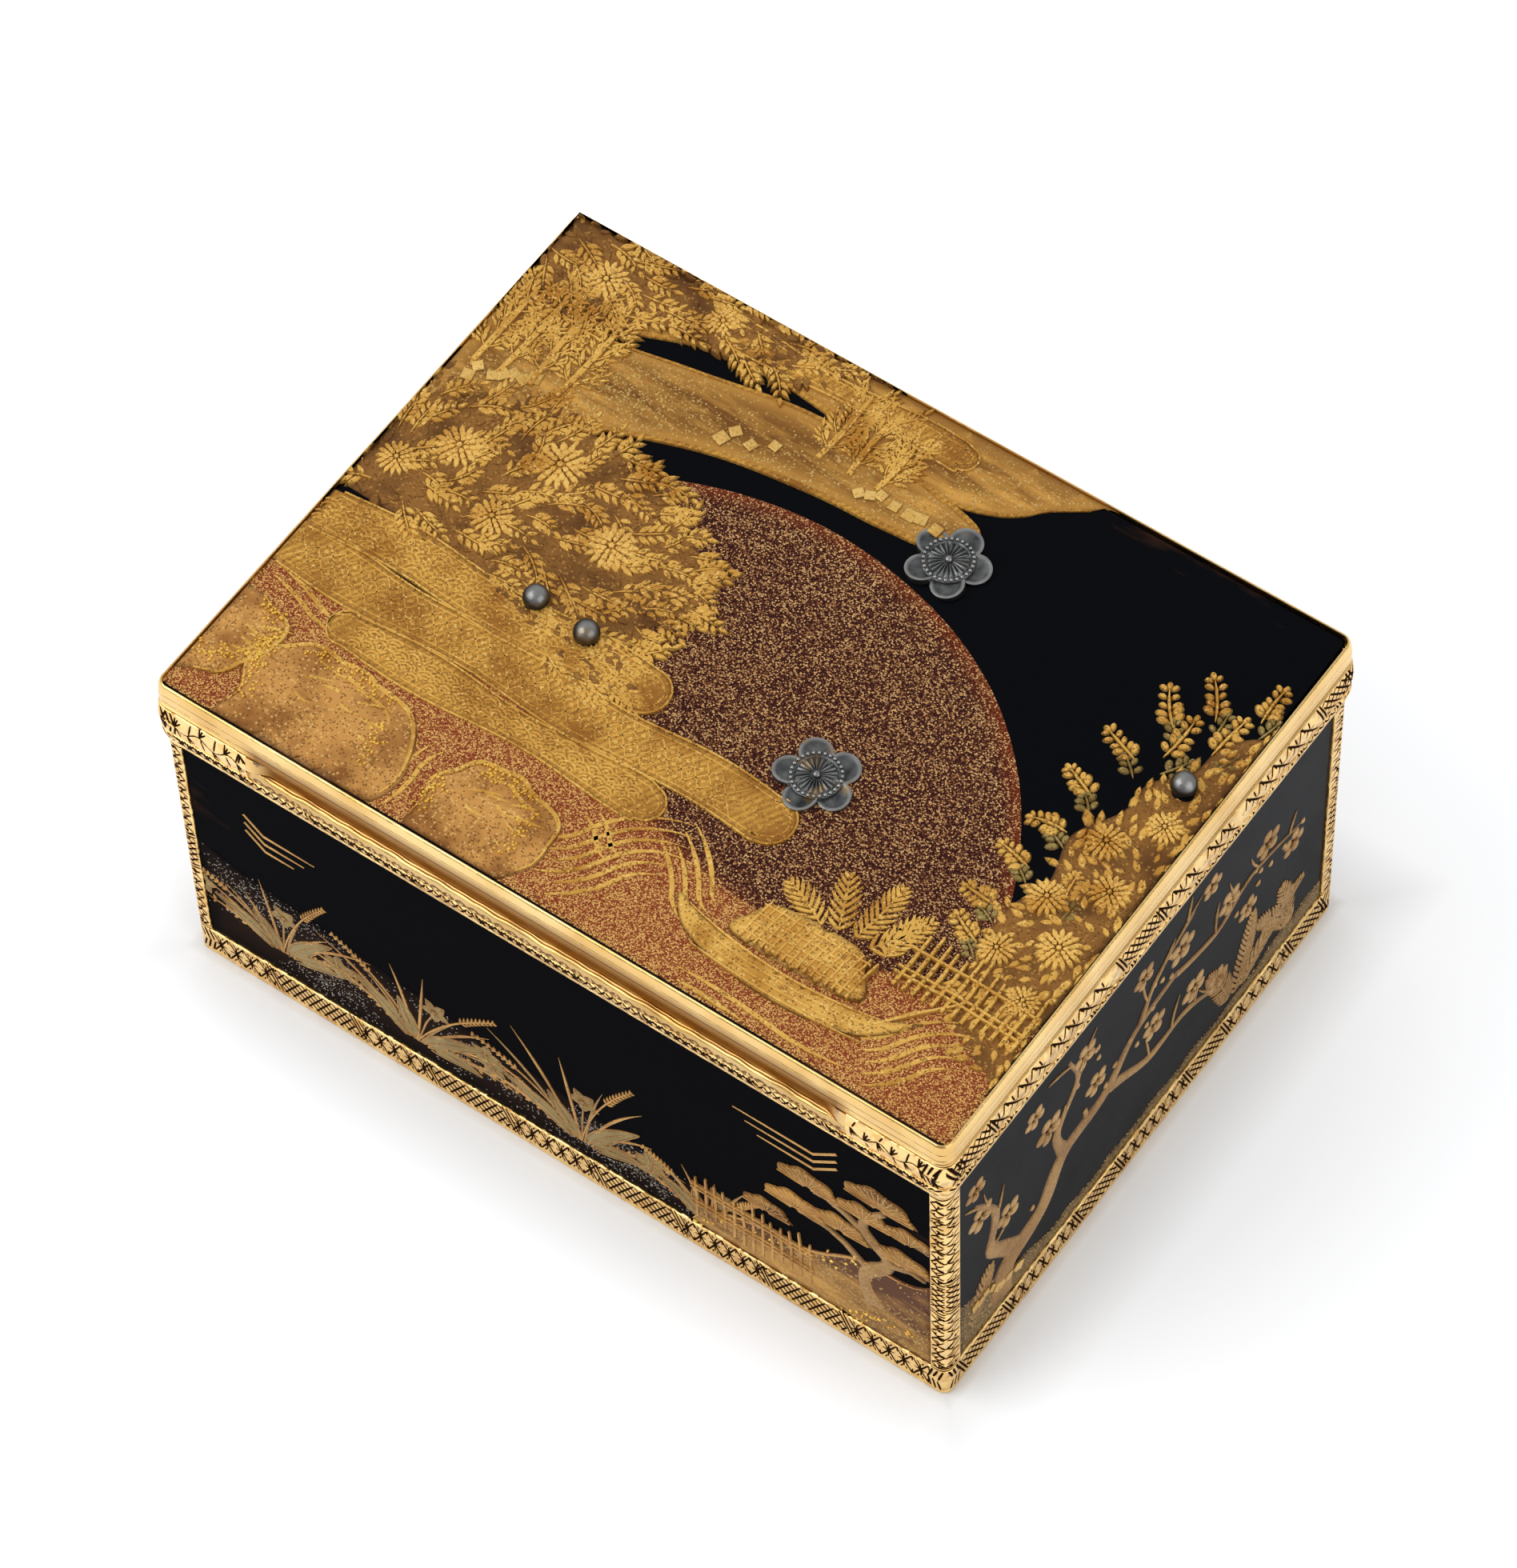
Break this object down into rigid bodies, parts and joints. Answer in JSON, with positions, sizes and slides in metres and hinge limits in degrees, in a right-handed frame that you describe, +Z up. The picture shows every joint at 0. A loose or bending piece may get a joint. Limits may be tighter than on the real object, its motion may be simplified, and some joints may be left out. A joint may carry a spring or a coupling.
{
  "type": "lacquer snuff box",
  "caption": "Rectangular hinged snuff box with lacquer panels in an engraved gold cage, a gold lining, a full-width thumbpiece and silver mounts on the lid.",
  "frame": {"origin": "middle of the base, on the surface that the box stands on", "axes": "+X along the long side, to the right seen from the front; +Y towards the hinge; +Z up"},
  "size_m": [0.0812, 0.0625, 0.0428],
  "materials": {
    "engraved_gold": "engraved with bright cuts and cross-hatching, brown in the cuts",
    "polished_gold": "mirror polish with fine drawn lines",
    "gold_lining": "soft polish, finely scratched by use",
    "black_lacquer": "high-gloss black lacquer over wood, with raised gold decoration",
    "gold_lacquer": "high-gloss lacquer over wood, sprinkled with gold, with raised gold decoration",
    "silver": "chased silver, tarnished grey in the hollows",
    "steel_pin": "plain drawn wire"
  },
  "bodies": {
    "body": {"base_rail_front": "engraved_gold", "base_rail_back": "engraved_gold", "base_rail_left": "engraved_gold", "base_rail_right": "engraved_gold", "pilaster_front_left": "engraved_gold", "pilaster_front_right": "engraved_gold", "pilaster_back_left": "engraved_gold", "pilaster_back_right": "engraved_gold", "upper_rail_front": "engraved_gold", "upper_rail_back": "engraved_gold", "upper_rail_left": "engraved_gold", "upper_rail_right": "engraved_gold", "lacquer_panel_front": "black_lacquer", "lacquer_panel_back": "black_lacquer", "lacquer_panel_left": "black_lacquer", "lacquer_panel_right": "black_lacquer", "lacquer_panel_base": "black_lacquer", "body_lining": "gold_lining", "body_knuckle_1": "polished_gold", "body_knuckle_2": "polished_gold", "body_knuckle_3": "polished_gold", "body_knuckle_4": "polished_gold", "body_knuckle_5": "polished_gold", "hinge_pin": "steel_pin"},
    "lid": {"lid_knuckle_1": "polished_gold", "lid_knuckle_2": "polished_gold", "lid_knuckle_3": "polished_gold", "lid_knuckle_4": "polished_gold", "lid_band_front": "engraved_gold", "lid_band_back": "engraved_gold", "lid_band_left": "engraved_gold", "lid_band_right": "engraved_gold", "thumbpiece": "polished_gold", "lid_bezel_front": "polished_gold", "lid_bezel_back": "polished_gold", "lid_bezel_left": "polished_gold", "lid_bezel_right": "polished_gold", "lid_lacquer_panel": "gold_lacquer", "lid_lining": "gold_lining", "silver_blossom_1": "silver", "silver_blossom_2": "silver", "silver_stud_1": "silver", "silver_stud_2": "silver", "silver_stud_3": "silver"}
  },
  "joints": [
    {"name": "lid_hinge", "type": "hinge", "parent": "body", "child": "lid", "pos_m": [0, 0.0307, 0.035], "axis": [-1, 0, 0], "range_deg": [0, 100]}
  ]
}
